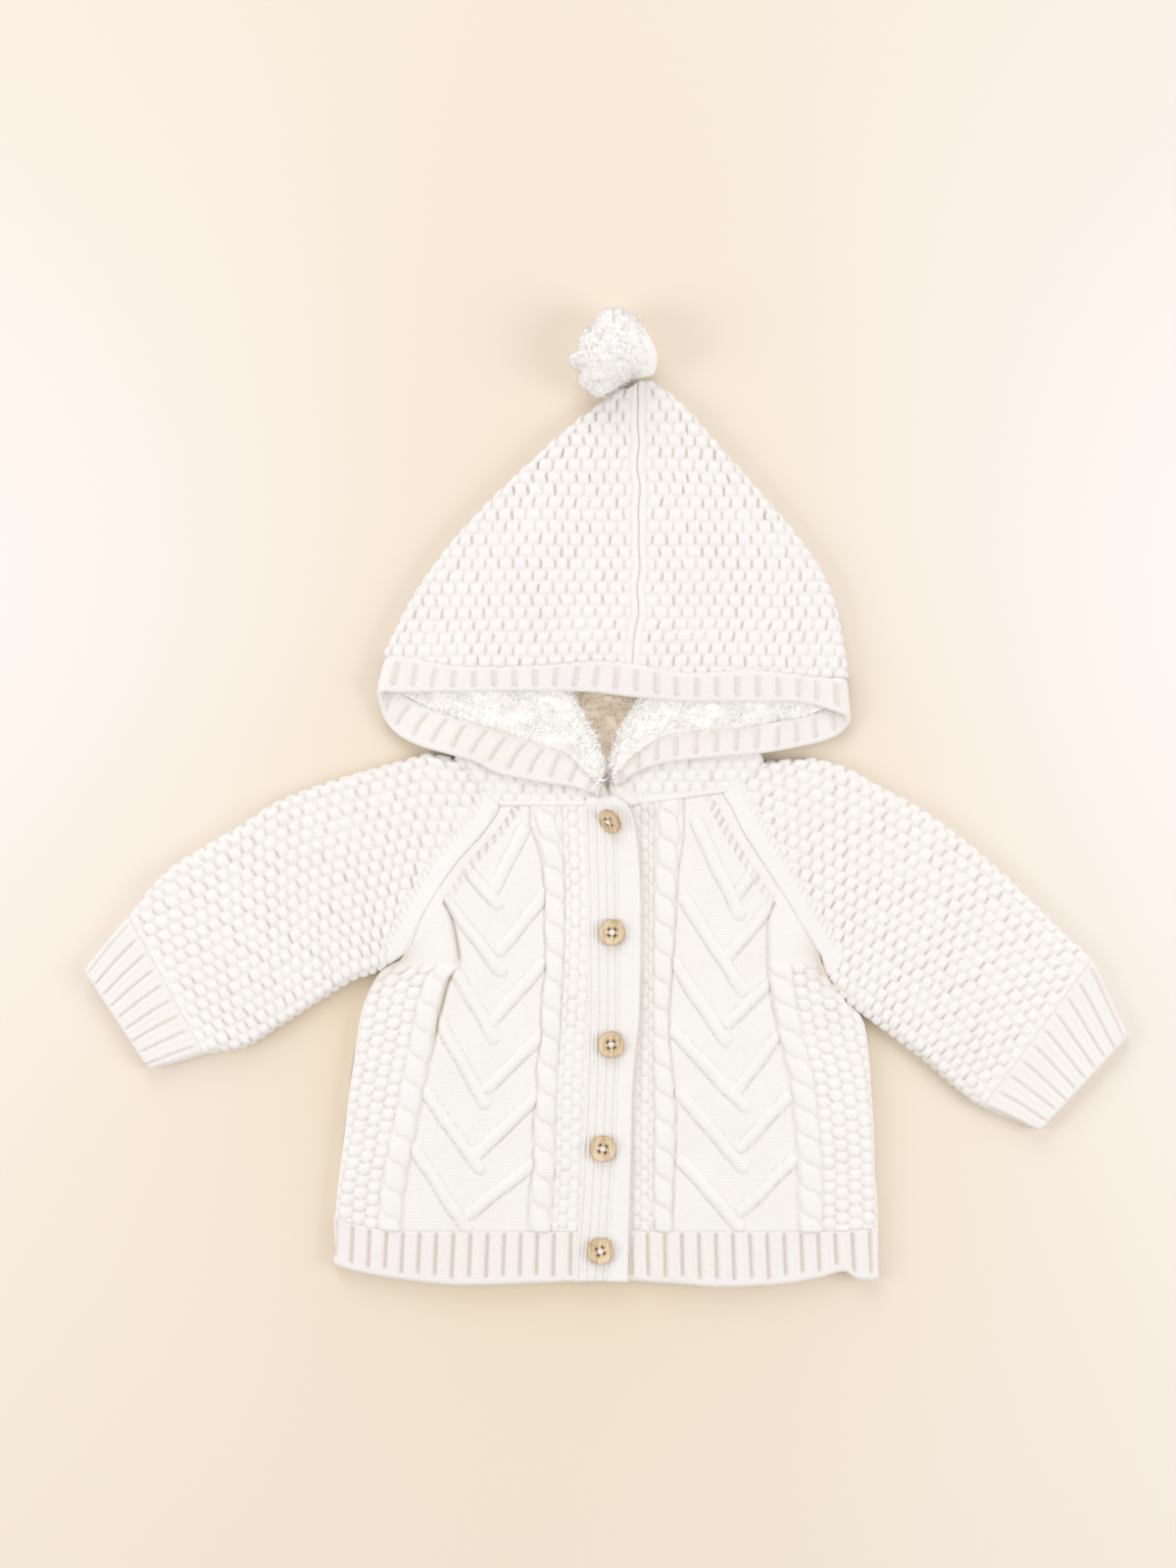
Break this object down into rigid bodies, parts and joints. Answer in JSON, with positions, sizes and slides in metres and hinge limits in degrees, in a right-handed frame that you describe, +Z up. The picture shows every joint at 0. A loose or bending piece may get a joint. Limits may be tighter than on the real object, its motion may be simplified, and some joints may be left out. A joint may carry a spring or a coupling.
{
  "type": "baby hooded knitted coat",
  "caption": "Hooded knitted cardigan coat for a baby, laid flat: raglan sleeves, ribbed cuffs and hem, cable fronts, fleece-lined hood with a pompom, button placket.",
  "frame": {"origin": "middle of the coat's outline, on the surface that it lies on", "axes": "+Z up from the surface, +Y from the hem towards the hood's tip, +X towards the wearer's left sleeve"},
  "size_m": [0.5766, 0.5386, 0.0344],
  "materials": {
    "knit": "chunky cream-white yarn, cable, moss and rib knit, matt with a soft nap",
    "fleece": "cream-white sherpa fleece with a short curly pile",
    "wood": "pale wood with fine grain, satin"
  },
  "bodies": {
    "root": {"back": "knit", "front_right": "knit", "front_left": "knit", "buttonhole_band": "knit", "button_band": "knit", "hem_back": "knit", "hem_front_right": "knit", "hem_front_left": "knit", "sleeve_right": "knit", "sleeve_left": "knit", "cuff_right": "knit", "cuff_left": "knit", "hood_right": "knit", "hood_left": "knit", "hood_neck_right": "knit", "hood_neck_left": "knit", "lining_right": "fleece", "lining_left": "fleece", "lining_back": "fleece", "lining_inside": "fleece", "hood_band": "knit", "pompom": "knit", "button_1": "wood", "button_2": "wood", "button_3": "wood", "button_4": "wood", "button_5": "wood"}
  },
  "joints": []
}
